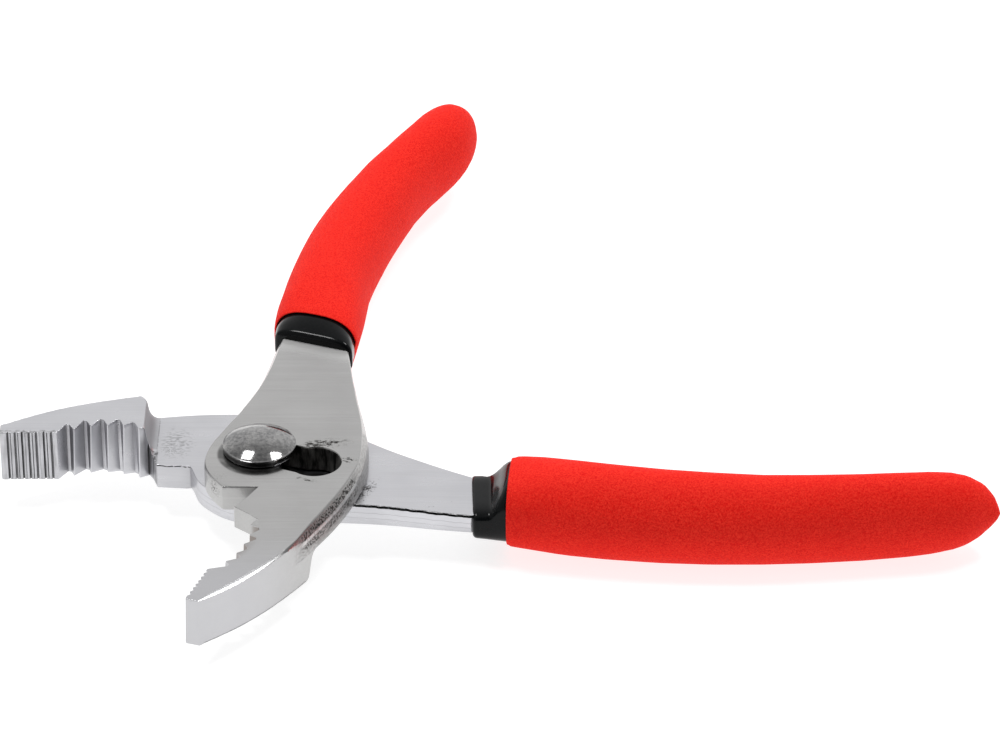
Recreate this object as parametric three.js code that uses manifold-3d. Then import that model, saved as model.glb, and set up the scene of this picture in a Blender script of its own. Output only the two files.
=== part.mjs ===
// Two-position slip-joint pliers, lying flat with the jaws open.
// Millimetres, +Z up. The origin is on the pivot axis, at the rear end of the pivot bolt.
// The pinned half lies below with its jaw along -X and its handle along +X; the slotted
// half is the same forging turned over and swung open about the bolt.

import * as THREE from 'three';
import { mergeVertices } from 'three/addons/utils/BufferGeometryUtils.js';
import Module from 'manifold-3d';

const wasm = await Module();
wasm.setup();

// ---------------------------------------------------------------- driving dimensions
const JAW_T = 11.2;          // full thickness of each jaw
const LAP_T = 5.5;           // thickness of each lapped plate at the pivot
const TANG_T = 4.7;          // thickness of the tang where it enters the sleeve
const TANG_END_T = 4.2;      // thickness at the buried end of the tang
const Z_OUT = 4.0;           // outer face of the pinned half above the bolt's rear end
const OPEN_DEG = 69.6;       // angle between the gripping faces as drawn

const GRIP_Y = 6.05;         // rear end of the gripping line of the pinned half, from its pivot
const GRIP_LEAN = Math.tan((0.7 * Math.PI) / 180);   // the two lines meet flat when the handles touch
const SLOTTED_DY = 0.25;     // the slotted half's jaw stands this much further from the pivot
const TIP_X = -52.6;         // jaw tip
const STEP_X = -23.1;        // wall where the jaw rises from the lapped plate
const FINE_N = 7;            // fine grooves across the jaw tip
const FINE_DEPTH = 0.5;

const SLOT_PITCH = 12.6;     // distance between the two pivot positions
const SLOT_R = 4.78;         // round ends of the slot
const SLOT_WAIST = 7.6;      // width of the neck between them
const SHANK_R = 4.6;         // bolt shank
const SHANK_FLATS = 7.0;     // across the two flats of the shank
const SEAT_GAP = 0.2;        // clearance of the shank in the pinned half

const HEAD_R = 7.35;
const HEAD_RIM = 1.15;       // straight part of the head
const HEAD_DOME = 2.0;       // rise of the dome above it
const WASHER_R = 6.6;
const WASHER_BORE_R = 4.72;
const WASHER_T = 0.35;
const THREAD_R = 3.8;
const NUT_FLATS = 11.0;
const NUT_T = 3.4;
const NUT_LIFT = 0.4;        // bolt end stands this far out of the nut

const GRIP_WALL = 1.5;       // foam wall
const LAYER_GAP = 0.3;       // gap between foam, sleeve and tang
const RING_N = 24;           // points round a sleeve or a grip

// ---------------------------------------------------------------- plan outlines of a half
// Half frame: jaw along -X, gripping face towards -Y, outer face at z = 0.
const COARSE = [             // coarse pipe teeth from the fine teeth towards the pivot
  [-41.1, GRIP_Y], [-39.35, 9.3], [-38.75, 9.15], [-37.65, 7.2],
  [-35.95, 10.65], [-35.3, 10.4], [-34.35, 8.6],
  [-32.55, 11.2], [-31.85, 10.8], [-31.0, 8.8],
  [-29.2, 11.1], [-28.6, 10.8], [-27.75, 8.7],
  [-26.15, 10.1], [-25.5, 9.6], [-24.65, 7.5],
];
const BACK = [               // back of the jaw and of the lapped plate, tip to pivot
  [-52.6, 9.0], [-50.75, 10.15], [-48.8, 11.3], [-46.9, 12.4], [-45, 13.45], [-43, 14.4],
  [-41, 15.25], [-39, 16.05], [-37, 16.8], [-35, 17.45], [-33, 18.05], [-31, 18.6],
  [-29, 19.15], [-27, 19.65], [-25, 20.05], [-23, 20.4], [-20, 20.9], [-17.2, 21.3],
  [-14, 21.65], [-10, 21.9], [-6, 21.95], [-2, 21.75],
];
const CUTTER_CORNER = [-21.0, 3.0];
const CUTTER_ROOT = [-22.85, 8.4];

const PINNED = {
  dy: 0,
  front: [                   // cutter edge, boss and outer edge of the tang
    [-14.2, 2.4], [-13.55, 0.9], [-13.2, -0.5], [-12.75, -2.1], [-12.0, -3.6], [-11.0, -5.0],
    [-9.9, -6.2], [-7.9, -8.1], [-5.4, -9.6], [-2, -10.6], [2, -11.0], [7, -11.05],
    [12, -10.95], [17, -11.0], [20.5, -11.2], [24.3, -11.6], [28.2, -12.1], [32.2, -12.75],
    [36.2, -13.35], [40.2, -13.95], [42.5, -14.2], [46, -12.9], [49, -11.5],
  ],
  back: [                    // inner edge of the tang, towards the other handle
    [2, 21.2], [6, 20.2], [10, 18.6], [14, 16.5], [18, 14.1], [21.6, 11.75], [23.8, 10.2],
    [27.9, 7.55], [32, 5.2], [36, 2.95], [40, 0.9], [42.5, -0.3], [46, -1.4], [49, -2.3],
  ],
  axis: [                    // centre line of the handle
    [42.5, -7.3], [46.5, -7.15], [50, -7.3], [52, -7.56], [56, -8.11], [62, -9.3], [70, -10.81], [80, -12.49], [90, -13.57],
    [100, -14.15], [110, -13.9], [120, -13.3], [130, -12.22], [137, -11.1], [141, -10.6], [144, -10.7], [146.2, -11.2], [147.6, -11.5],
  ],
};
const SLOTTED = {
  dy: SLOTTED_DY,
  front: [
    [-12.85, 4.95], [-15.2, -1.65], [-14.5, -2.85], [-13.45, -4.15], [-12.4, -5.45], [-11.1, -6.65],
    [-9.6, -7.85], [-7.3, -8.95], [-5.15, -9.45], [-2.9, -9.8], [-0.35, -9.85], [5.1, -9.75],
    [9.5, -10.2], [13, -10.8], [16.3, -11.25], [23.6, -11.05], [26.7, -11.2], [29.8, -11.45],
    [33.75, -11.95], [37.3, -12.55], [40.6, -13.2], [44, -12.9], [47.5, -11.9],
  ],
  back: [
    [2, 21.7], [6.3, 20.7], [11.2, 19.1], [15.9, 17.25], [19.3, 15.7], [22.3, 14.1],
    [25.5, 11.95], [29.1, 9.6], [32.4, 7.6], [35.8, 5.6], [40.6, 3.4], [44, 0.7], [47.5, -2.6],
  ],
  axis: [
    [40.6, -4.9], [44, -6.0], [48.5, -7.29], [52, -8.33], [56, -9.43], [62, -10.87], [70, -12.39], [80, -13.83], [90, -14.87],
    [100, -15.26], [110, -15.06], [120, -14.2], [130, -13.2], [137, -12.65], [141, -12.4], [144, -12.25], [146, -12.15], [147.2, -12.1],
  ],
};
const CORE_HALF = [[50, 4.4], [80, 4.2], [100, 3.5], [120, 2.8], [136, 2.4]];   // buried tang, half width
const CORE_END = 136;

// half width in plan, half depth in z and centre height of the grip's outside
const GRIP_SECTION = [
  // x, a, b
  [50, 8.6, 8.4], [51, 8.95, 8.8], [52, 9.05, 9.1], [56, 9.1, 9.6], [62, 8.9, 9.85], [70, 8.55, 9.9], [80, 8.2, 9.8],
  [90, 7.85, 9.7], [100, 7.45, 9.5], [110, 6.85, 9.5], [120, 6.4, 9.45], [128, 6.25, 9.3], [134, 6.15, 8.9],
  [138, 5.85, 8.3], [141, 5.35, 7.4], [144, 4.4, 5.9], [146, 3.1, 4.1], [147.1, 1.7, 2.3], [147.6, 0, 0],
];
const GRIP_ZC = 3.6;         // grip centre above the half's outer face
const NECK_A = { pinned: 7.75, slotted: 9.0 };   // half width of each sleeve's neck
const SLEEVE_NECK = { zc: 1.9, b: 3.5 };
const FRONT = { pinned: 42.5, slotted: 40.8 };        // front end of each sleeve
const GRIP_FRONT = { pinned: 50.0, slotted: 46.2 };   // front end of each grip
const GRIP_END = { pinned: 147.6, slotted: 147.2 };   // rear end of each grip
const FLAT = { tilt: (15 * Math.PI) / 180, pinned: 1.3, slotted: 0.3, from: 50, to: 60 };   // flattened where the grips meet

// ---------------------------------------------------------------- helpers
const lerp = (table, x, k = 1) => {
  if (x <= table[0][0]) return table[0][k];
  for (let i = 1; i < table.length; i++) {
    if (x <= table[i][0]) {
      const [p, q] = [table[i - 1], table[i]];
      return p[k] + ((q[k] - p[k]) * (x - p[0])) / (q[0] - p[0]);
    }
  }
  return table[table.length - 1][k];
};

function toSolid(geometry) {
  const g = geometry.index ? geometry.toNonIndexed() : geometry.clone();
  for (const name of Object.keys(g.attributes)) if (name !== 'position') g.deleteAttribute(name);
  const m = mergeVertices(g, 1e-5);
  const tri = [];
  for (let i = 0; i < m.index.count; i += 3) {
    const [a, b, c] = [m.index.getX(i), m.index.getX(i + 1), m.index.getX(i + 2)];
    if (a !== b && b !== c && a !== c) tri.push(a, b, c);
  }
  return new wasm.Manifold(new wasm.Mesh({
    numProp: 3,
    vertProperties: new Float32Array(m.attributes.position.array),
    triVerts: new Uint32Array(tri),
  }));
}

function toGeometry(solid) {
  const mesh = solid.getMesh();
  const g = new THREE.BufferGeometry();
  g.setAttribute('position', new THREE.BufferAttribute(new Float32Array(mesh.vertProperties), 3));
  g.setIndex(new THREE.BufferAttribute(new Uint32Array(mesh.triVerts), 1));
  g.computeVertexNormals();
  return g;
}

// a flat outline pulled up from z0 to z1
function slab(points, z0, z1) {
  const shape = new THREE.Shape(points.map(([x, y]) => new THREE.Vector2(x, y)));
  const g = new THREE.ExtrudeGeometry(shape, { depth: z1 - z0, bevelEnabled: false, steps: 1 });
  g.translate(0, 0, z0);
  return toSolid(g);
}

// a side profile in XZ, pulled along Y through the whole width
function sideCut(points) {
  const shape = new THREE.Shape(points.map(([x, z]) => new THREE.Vector2(x, z)));
  const g = new THREE.ExtrudeGeometry(shape, { depth: 120, bevelEnabled: false, steps: 1 });
  g.rotateX(Math.PI / 2);
  g.translate(0, 60, 0);
  return toSolid(g);
}

const circle = (cx, cy, r, n, a0 = 0, a1 = 2 * Math.PI) => {
  const out = [];
  const full = Math.abs(a1 - a0 - 2 * Math.PI) < 1e-9;
  for (let i = 0; i < (full ? n : n + 1); i++) {
    const t = a0 + ((a1 - a0) * i) / n;
    out.push([cx + r * Math.cos(t), cy + r * Math.sin(t)]);
  }
  return out;
};

// round bar with two flats, the flats parallel to Y
const doubleFlat = (r, flats, n = 20) => {
  const a = Math.acos(flats / 2 / r);
  return [...circle(0, 0, r, n / 2, a, Math.PI - a), ...circle(0, 0, r, n / 2, Math.PI + a, 2 * Math.PI - a)];
};

// closed skin through rings of equal size; a ring of zero size becomes a point
function loft(rings) {
  const pos = [];
  const idx = [];
  const start = [];
  for (const ring of rings) {
    start.push(pos.length / 3);
    for (const v of ring) pos.push(v[0], v[1], v[2]);
  }
  for (let k = 0; k + 1 < rings.length; k++) {
    const [A, B] = [rings[k], rings[k + 1]];
    const n = Math.max(A.length, B.length);
    for (let i = 0; i < n; i++) {
      const j = (i + 1) % n;
      const a = start[k] + (A.length === 1 ? 0 : i), a2 = start[k] + (A.length === 1 ? 0 : j);
      const b = start[k + 1] + (B.length === 1 ? 0 : i), b2 = start[k + 1] + (B.length === 1 ? 0 : j);
      if (A.length > 1) idx.push(a, a2, b2);
      if (B.length > 1) idx.push(a, b2, b);
    }
  }
  const cap = (k, flip) => {
    const R = rings[k];
    if (R.length === 1) return;
    const c = pos.length / 3;
    const m = R.reduce((s, v) => [s[0] + v[0] / R.length, s[1] + v[1] / R.length, s[2] + v[2] / R.length], [0, 0, 0]);
    pos.push(...m);
    for (let i = 0; i < R.length; i++) {
      const j = (i + 1) % R.length;
      if (flip) idx.push(c, start[k] + j, start[k] + i); else idx.push(c, start[k] + i, start[k] + j);
    }
  };
  cap(0, true);
  cap(rings.length - 1, false);
  const g = new THREE.BufferGeometry();
  g.setAttribute('position', new THREE.BufferAttribute(new Float32Array(pos), 3));
  g.setIndex(idx);
  const s = toSolid(g);
  if (s.volume() > 0) return s;
  for (let i = 0; i < idx.length; i += 3) [idx[i + 1], idx[i + 2]] = [idx[i + 2], idx[i + 1]];
  g.setIndex(idx);
  return toSolid(g);
}

// rings along a handle's centre line; sizes(x) gives half width, half depth and centre height
function handleRings(axis, xs, sizes, n = RING_N) {
  return xs.map((x) => {
    const { a, b, zc, power = 2, flat = 0 } = sizes(x);
    const y = lerp(axis, x);
    if (a <= 0) return [[x, y, zc]];
    const h = 1.5;
    const t = new THREE.Vector2(2 * h, lerp(axis, x + h) - lerp(axis, x - h)).normalize();
    const [fc, fs] = [Math.cos(FLAT.tilt), Math.sin(FLAT.tilt)];
    const limit = Math.hypot(a * fc, b * fs) - flat;
    const ring = [];
    for (let i = 0; i < n; i++) {
      const f = (2 * Math.PI * i) / n;
      const c = Math.cos(f), s = Math.sin(f);
      let u = a * Math.sign(c) * Math.abs(c) ** (2 / power);
      let w = b * Math.sign(s) * Math.abs(s) ** (2 / power);
      const over = flat > 0 ? Math.max(0, u * fc + w * fs - limit) : 0;
      u -= over * fc;
      w -= over * fs;
      ring.push([x - t.y * u, y + t.x * u, zc + w]);
    }
    return ring;
  });
}

// ---------------------------------------------------------------- one forged half
function fineTeeth() {
  const line = (x) => GRIP_Y + GRIP_LEAN * (x - COARSE[0][0]);
  const out = [[TIP_X, line(TIP_X)]];
  const x0 = TIP_X + 0.9, x1 = COARSE[0][0] - 0.35;
  const pitch = (x1 - x0) / FINE_N;
  for (let i = 0; i < FINE_N; i++) {
    const x = x0 + pitch * i;
    for (const [k, deep] of [[0.18, 0], [0.5, FINE_DEPTH], [0.82, 0]]) out.push([x + pitch * k, line(x + pitch * k) + deep]);
  }
  return out;
}

function coreOutline(axis) {
  const xs = [54, 64, 76, 90, 104, 118, 130, CORE_END];
  const upper = xs.map((x) => [x, lerp(axis, x) + lerp(CORE_HALF, x)]);
  const lower = xs.map((x) => [x, lerp(axis, x) - lerp(CORE_HALF, x)]).reverse();
  return [...upper, ...lower];
}

function forgedHalf(plan) {
  const lift = ([x, y]) => [x, y + plan.dy];
  const teeth = [...fineTeeth(), ...COARSE].map(lift);
  const whole = [
    ...teeth, lift(CUTTER_ROOT), lift(CUTTER_CORNER), ...plan.front,
    ...coreOutline(plan.axis).reverse(),
    ...[...BACK.map(lift), ...plan.back].reverse(),
  ];
  const jaw = [
    ...teeth, ...[[STEP_X - 0.35, 8.15], [STEP_X, 8.3], [STEP_X, 18.4], [STEP_X - 0.35, 19.3], [STEP_X - 1.1, 19.95]].map(lift),
    ...BACK.filter(([x]) => x < STEP_X - 1.5).map(lift).reverse(),
  ];
  const taper = sideCut([[16, LAP_T], [42.5, TANG_T], [140, TANG_END_T], [140, 9], [16, 9]]);
  return slab(whole, 0, LAP_T).add(slab(jaw, 0, JAW_T)).subtract(taper);
}

function slotOutline() {
  const a = Math.asin(SLOT_WAIST / 2 / SLOT_R);
  return [
    ...circle(0, 0, SLOT_R, 24, Math.PI / 2 + a, 2.5 * Math.PI - a),
    ...circle(0, SLOT_PITCH, SLOT_R, 24, -Math.PI / 2 + a, 1.5 * Math.PI - a),
  ];
}

// ---------------------------------------------------------------- sleeve and grip of a half
const sleeveXs = (front, gripFront) => [
  ...[0, 0.2, 0.46, 0.62, 0.78, 0.93].map((k) => front + k * (gripFront - front)), gripFront + 3, 60, 76, 90, 104, 116, 126, 133,
  137.5, 140.5, 142.6, 143.6,
];

// place in the section table of a point on a half's own grip
function station(key, x) {
  const front = GRIP_FRONT[key], end = GRIP_END[key];
  if (x < 70) return x + ((50 - front) * (70 - x)) / (70 - front);
  if (x > 120) return 120 + ((x - 120) * 27.6) / (end - 120);
  return x;
}
const flatAt = (key, x) => FLAT[key] * THREE.MathUtils.clamp((FLAT.to - x) / (FLAT.to - FLAT.from), 0, 1);

function sleeveSizes(key, grow) {
  const front = FRONT[key], gripFront = GRIP_FRONT[key];
  return (x) => {
    const inset = GRIP_WALL + LAYER_GAP;
    const a = Math.max(lerp(GRIP_SECTION, station(key, x), 1) - inset, 0.6);
    const b = Math.max(lerp(GRIP_SECTION, station(key, x), 2) - inset, 0.6);
    const k = THREE.MathUtils.smoothstep(x, front + 0.45 * (gripFront - front), gripFront + 0.2);
    const end = x > 141 ? Math.max(0.25, 1 - ((x - 141) / 3) ** 2) : 1;
    return {
      a: (NECK_A[key] * (1 - k) + a * k) * end + grow,
      b: (SLEEVE_NECK.b * (1 - k) + b * k) * end + grow,
      zc: SLEEVE_NECK.zc * (1 - k) + GRIP_ZC * k,
      power: 5 * (1 - k) + 2.2 * k,
      flat: flatAt(key, x) * k,
    };
  };
}

function handleSolids(plan, key) {
  const front = FRONT[key], gripFront = GRIP_FRONT[key];
  const xs = sleeveXs(front, gripFront);
  const skin = loft(handleRings(plan.axis, xs, sleeveSizes(key, 0)));

  // pocket for the tang: the tang's own outline, grown by the layer gap
  const g = LAYER_GAP;
  const f = plan.front.filter(([x]) => x > 36), b = plan.back.filter(([x]) => x > 35);
  const core = coreOutline(plan.axis), half = core.length / 2;
  const upper = [...b, ...core.slice(0, half)], lower = [...f, ...core.slice(half).reverse()];
  upper[upper.length - 1] = [CORE_END + g, upper[upper.length - 1][1]];
  lower[lower.length - 1] = [CORE_END + g, lower[lower.length - 1][1]];
  const pocketPlan = [...upper.map(([x, y]) => [x, y + g * 1.15]), ...lower.map(([x, y]) => [x, y - g * 1.15]).reverse()];
  const pocket = slab(pocketPlan, -g, 9).subtract(
    sideCut([[20, LAP_T + g], [42.5, TANG_T + g], [140, TANG_END_T + g], [140, 12], [20, 12]]));
  const sleeve = skin.subtract(pocket);

  const end = GRIP_END[key];
  const gripXs = [gripFront, gripFront + 1, gripFront + 2, gripFront + 6, 62, 70, 80, 90, 100, 110, 120, 128,
    end - 13.6, end - 9.6, end - 6.6, end - 3.6, end - 1.6, end - 0.5, end];
  const outer = loft(handleRings(plan.axis, gripXs, (x) => {
    const u = station(key, x);
    return { a: lerp(GRIP_SECTION, u, 1), b: lerp(GRIP_SECTION, u, 2), zc: GRIP_ZC, flat: flatAt(key, x) };
  }));
  const room = loft(handleRings(plan.axis, xs, sleeveSizes(key, LAYER_GAP)));
  return { sleeve, grip: outer.subtract(room) };
}

// ---------------------------------------------------------------- the pivot
function pivotBolt() {
  const zSeat = Z_OUT + JAW_T + 0.1 + WASHER_T + 0.1;   // underside of the head
  const profile = [[0, zSeat], [HEAD_R - 0.25, zSeat], [HEAD_R, zSeat + 0.25], [HEAD_R, zSeat + HEAD_RIM - 0.2], [HEAD_R - 0.2, zSeat + HEAD_RIM]];
  for (let i = 1; i <= 8; i++) {
    const t = i / 8;
    const r = (HEAD_R - 0.2) * Math.cos((Math.PI / 2) * t);
    profile.push([i === 8 ? 0 : r, zSeat + HEAD_RIM + HEAD_DOME * Math.sin((Math.PI / 2) * t) ** 1.15]);
  }
  const head = new THREE.LatheGeometry(profile.map(([r, z]) => new THREE.Vector2(r, z)), 40);
  head.rotateX(Math.PI / 2);
  const turn = THREE.MathUtils.degToRad(OPEN_DEG);
  const shankPlan = doubleFlat(SHANK_R, SHANK_FLATS).map(([x, y]) => [x * Math.cos(turn) - y * Math.sin(turn), x * Math.sin(turn) + y * Math.cos(turn)]);
  return toSolid(head)
    .add(slab(shankPlan, Z_OUT - 0.1, zSeat + 0.2))
    .add(slab(circle(0, 0, THREAD_R, 32), 0, Z_OUT - 0.05));
}

function seatHole() {
  const turn = THREE.MathUtils.degToRad(OPEN_DEG);
  const plan = doubleFlat(SHANK_R + SEAT_GAP, SHANK_FLATS + 2 * SEAT_GAP)
    .map(([x, y]) => [x * Math.cos(turn) - y * Math.sin(turn), x * Math.sin(turn) + y * Math.cos(turn)]);
  return slab(plan, -1, JAW_T + 1);
}

function pivotNut() {
  const R = NUT_FLATS / 2 / Math.cos(Math.PI / 6);
  const hex = slab(circle(0, 0, R, 6, Math.PI / 6, Math.PI / 6 + 2 * Math.PI), NUT_LIFT, NUT_LIFT + NUT_T);
  const z0 = NUT_LIFT, z1 = NUT_LIFT + NUT_T;
  const chamfer = new THREE.LatheGeometry(
    [[0, z0 - 0.001], [NUT_FLATS / 2 - 0.1, z0 - 0.001], [R + 0.2, z0 + 0.75], [R + 0.2, z1 + 0.001], [0, z1 + 0.001]].map(([r, z]) => new THREE.Vector2(r, z)), 48);
  chamfer.rotateX(Math.PI / 2);
  return hex.intersect(toSolid(chamfer)).subtract(slab(circle(0, 0, THREAD_R + 0.2, 32), -1, 10));
}

function pivotWasher() {
  const z = Z_OUT + JAW_T + 0.1;
  return slab(circle(0, 0, WASHER_R, 48), z, z + WASHER_T).subtract(slab(circle(0, 0, WASHER_BORE_R, 48), z - 1, z + 2));
}

// ---------------------------------------------------------------- scene graph
const steelPinned = new THREE.MeshStandardMaterial({ color: 0xc4c4c8, roughness: 0.38, metalness: 1.0 });
const steelSlotted = new THREE.MeshStandardMaterial({ color: 0xb6b5b2, roughness: 0.36, metalness: 1.0 });
const boltSteel = new THREE.MeshStandardMaterial({ color: 0x8f8f8e, roughness: 0.25, metalness: 1.0 });
const nutSteel = new THREE.MeshStandardMaterial({ color: 0x9a9a99, roughness: 0.35, metalness: 1.0 });
const washerSteel = new THREE.MeshStandardMaterial({ color: 0x55565a, roughness: 0.45, metalness: 1.0 });
const black = new THREE.MeshStandardMaterial({ color: 0x131415, roughness: 0.3, metalness: 0.0 });
const red = new THREE.MeshStandardMaterial({ color: 0xd9231a, roughness: 0.85, metalness: 0.0 });

const pliers = new THREE.Group();
const put = (parent, name, solid, material) => {
  const mesh = new THREE.Mesh(toGeometry(solid), material.clone());
  mesh.name = name;
  parent.add(mesh);
};

const pinned = new THREE.Group();
pinned.position.z = Z_OUT;
pliers.add(pinned);
put(pinned, 'pinned_half', forgedHalf(PINNED).subtract(seatHole()), steelPinned);
const pinnedHandle = handleSolids(PINNED, 'pinned');
put(pinned, 'pinned_sleeve', pinnedHandle.sleeve, black);
put(pinned, 'pinned_grip', pinnedHandle.grip, red);

// the slotted half: turned over, then swung open about the bolt
const slotted = new THREE.Group();
slotted.position.z = Z_OUT + JAW_T;
slotted.rotation.set(Math.PI, 0, THREE.MathUtils.degToRad(OPEN_DEG), 'ZYX');
pliers.add(slotted);
put(slotted, 'slotted_half', forgedHalf(SLOTTED).subtract(slab(slotOutline(), -1, JAW_T + 1)), steelSlotted);
const slottedHandle = handleSolids(SLOTTED, 'slotted');
put(slotted, 'slotted_sleeve', slottedHandle.sleeve, black);
put(slotted, 'slotted_grip', slottedHandle.grip, red);

put(pliers, 'pivot_bolt', pivotBolt(), boltSteel);
put(pliers, 'pivot_nut', pivotNut(), nutSteel);
put(pliers, 'pivot_washer', pivotWasher(), washerSteel);

export default pliers;
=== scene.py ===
import math

import bpy
import numpy as np
from mathutils import Matrix, Vector, geometry, noise


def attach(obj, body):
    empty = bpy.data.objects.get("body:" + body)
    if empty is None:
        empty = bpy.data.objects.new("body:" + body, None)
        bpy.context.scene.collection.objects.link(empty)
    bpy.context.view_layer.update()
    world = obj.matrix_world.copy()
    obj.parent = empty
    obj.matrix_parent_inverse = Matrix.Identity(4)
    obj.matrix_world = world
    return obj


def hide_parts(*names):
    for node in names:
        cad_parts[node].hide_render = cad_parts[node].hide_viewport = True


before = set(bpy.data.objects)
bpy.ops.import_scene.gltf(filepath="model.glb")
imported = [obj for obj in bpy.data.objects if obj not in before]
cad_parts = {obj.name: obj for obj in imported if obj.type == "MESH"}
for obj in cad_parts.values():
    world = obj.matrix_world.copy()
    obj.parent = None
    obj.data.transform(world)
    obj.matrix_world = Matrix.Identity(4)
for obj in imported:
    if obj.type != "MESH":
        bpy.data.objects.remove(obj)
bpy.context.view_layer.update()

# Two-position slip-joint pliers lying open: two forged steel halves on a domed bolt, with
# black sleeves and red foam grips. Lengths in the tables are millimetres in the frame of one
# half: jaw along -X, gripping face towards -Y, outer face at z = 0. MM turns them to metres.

MM = 0.001
OPEN = math.radians(69.6)

# ------------------------------------------------------------------ camera
cam_data = bpy.data.cameras.new("camera")
cam_data.lens = 180.0
cam_data.sensor_width = 36.0
cam_data.clip_start = 0.01
cam_data.clip_end = 20.0
camera = bpy.data.objects.new("camera", cam_data)
camera.location = (0.0481, -0.8402, 0.55767)
camera.rotation_euler = (math.radians(58.0), 0.0, 0.0)
bpy.context.scene.collection.objects.link(camera)
bpy.context.scene.camera = camera

# ------------------------------------------------------------------ measured shapes
JAW_T, LAP_T = 11.2, 5.5
TIP_X = -52.6
GRIP_Y, GRIP_LEAN = 6.05, math.tan(math.radians(0.7))
COARSE = [
    (-41.1, GRIP_Y), (-39.35, 9.3), (-38.75, 9.15), (-37.65, 7.2),
    (-35.95, 10.65), (-35.3, 10.4), (-34.35, 8.6),
    (-32.55, 11.2), (-31.85, 10.8), (-31.0, 8.8),
    (-29.2, 11.1), (-28.6, 10.8), (-27.75, 8.7),
    (-26.15, 10.1), (-25.5, 9.6), (-24.65, 7.5),
]
BACK = [
    (-52.6, 9.0), (-50.75, 10.15), (-48.8, 11.3), (-46.9, 12.4), (-45, 13.45), (-43, 14.4),
    (-41, 15.25), (-39, 16.05), (-37, 16.8), (-35, 17.45), (-33, 18.05), (-31, 18.6),
    (-29, 19.15), (-27, 19.65), (-25, 20.05), (-23, 20.4), (-20, 20.9), (-17.2, 21.3),
    (-14, 21.65), (-10, 21.9), (-6, 21.95), (-2, 21.75),
]
PLANS = {
    "pinned": dict(
        dy=0.0,
        cutter=[(-21.0, 3.0), (-14.2, 2.4)],
        front=[(-14.2, 2.4), (-13.55, 0.9), (-13.2, -0.5), (-12.75, -2.1), (-12.0, -3.6), (-11.0, -5.0),
               (-9.9, -6.2), (-7.9, -8.1), (-5.4, -9.6), (-2, -10.6), (2, -11.0), (7, -11.05),
               (12, -10.95), (17, -11.0), (20.5, -11.2), (24.3, -11.6), (28.2, -12.1), (32.2, -12.75),
               (36.2, -13.35), (40.2, -13.95), (42.5, -14.2), (46, -12.9), (49, -11.5)],
        back=[(2, 21.2), (6, 20.2), (10, 18.6), (14, 16.5), (18, 14.1), (21.6, 11.75), (23.8, 10.2),
              (27.9, 7.55), (32, 5.2), (36, 2.95), (40, 0.9), (42.5, -0.3), (46, -1.4), (49, -2.3)],
        axis=[(42.5, -7.3), (46.5, -7.15), (50, -7.3), (52, -7.56), (56, -8.3), (62, -9.75), (70, -11.3),
              (80, -12.8), (90, -13.7), (100, -14.15), (110, -13.9), (120, -13.3), (130, -12.22),
              (137, -11.1), (141, -10.6), (144, -10.75), (146.2, -11.4), (147.6, -11.9)],
        more=[(50, 0.0), (147, 0.0)],
        neck=8.0, square=4.6, round=3.0, square_on=False, front_x=42.5, grip_x=50.0, end_x=147.6, flat=1.3),
    "slotted": dict(
        dy=0.25,
        cutter=[(-21.0, 3.25), (-17.25, 4.3), (-12.85, 4.95), (-15.2, -1.65)],
        front=[(-15.2, -1.65), (-14.5, -2.85), (-13.45, -4.15), (-12.4, -5.45), (-11.1, -6.65),
               (-9.6, -7.85), (-7.3, -8.95), (-5.15, -9.5), (-2.9, -9.85), (-0.35, -9.92), (5.1, -9.78),
               (9.5, -10.05), (13, -10.35), (16.3, -10.45), (21, -10.5), (24.75, -10.75), (28.7, -11.2),
               (32.2, -11.7), (36, -12.35), (40.6, -13.1), (44, -12.9), (47.5, -11.9)],
        back=[(2, 21.7), (6.3, 20.7), (11.2, 19.0), (15.2, 17.3), (18.3, 15.6), (21.2, 13.75),
              (24.4, 11.6), (27.5, 9.75), (30.8, 7.85), (35.0, 5.75), (40.6, 2.9), (44, 0.7), (47.5, -2.6)],
        axis=[(40.6, -5.0), (44, -6.1), (45.5, -6.5), (48.5, -7.35), (52, -8.33), (54, -8.885), (56, -9.43), (58, -9.965),
              (60, -10.49), (62, -11.0), (64, -11.48), (66, -11.93), (68, -12.35), (70, -12.74), (75, -13.56), (80, -14.2),
              (85, -14.68), (90, -15.0), (95, -15.15), (100, -15.2), (110, -15.05), (120, -14.0), (130, -12.55),
              (137, -12.15), (141, -12.0), (144, -11.83), (146.5, -11.7)],
        more=[(45.5, 0.4), (50, 0.3), (56, 0.1), (60, 0.05), (63, 0.1), (68, 0.15), (75, 0.3), (83, 0.55), (93, 0.57), (103, 0.57),
              (110, 0.65), (118, 0.65), (123, 0.95), (130, 1.12), (133, 1.1), (138, 0.6), (143, 0.1), (147, 0.0)],
        neck=8.7, square=4.6, round=4.1, square_on=True, front_x=40.6, grip_x=46.0, end_x=146.5, flat=0.3),
}
CORE_HALF = [(50, 4.4), (80, 4.2), (100, 3.5), (120, 2.8), (136, 2.4)]
GRIP_SECTION = [            # x, half width, half depth, squareness
    (50, 9.0, 7.65, 2.7), (51, 9.15, 7.9, 2.65), (52, 9.2, 8.1, 2.6), (56, 9.15, 8.75, 2.4), (62, 8.9, 9.55, 2.15), (70, 8.55, 9.9, 2.0),
    (80, 8.2, 9.82, 2.0), (90, 7.85, 9.7, 2.0), (100, 7.45, 9.5, 2.0), (110, 6.75, 9.55, 2.0), (120, 6.2, 9.5, 2.0), (128, 6.1, 9.3, 2.0),
    (134, 6.2, 8.9, 2.0), (138, 6.0, 8.3, 2.0), (141, 5.5, 7.4, 2.0), (144, 4.35, 5.6, 2.0), (146, 2.6, 3.25, 2.0), (147.1, 1.15, 1.4, 2.0),
    (147.6, 0.0, 0.0, 2.0),
]
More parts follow.
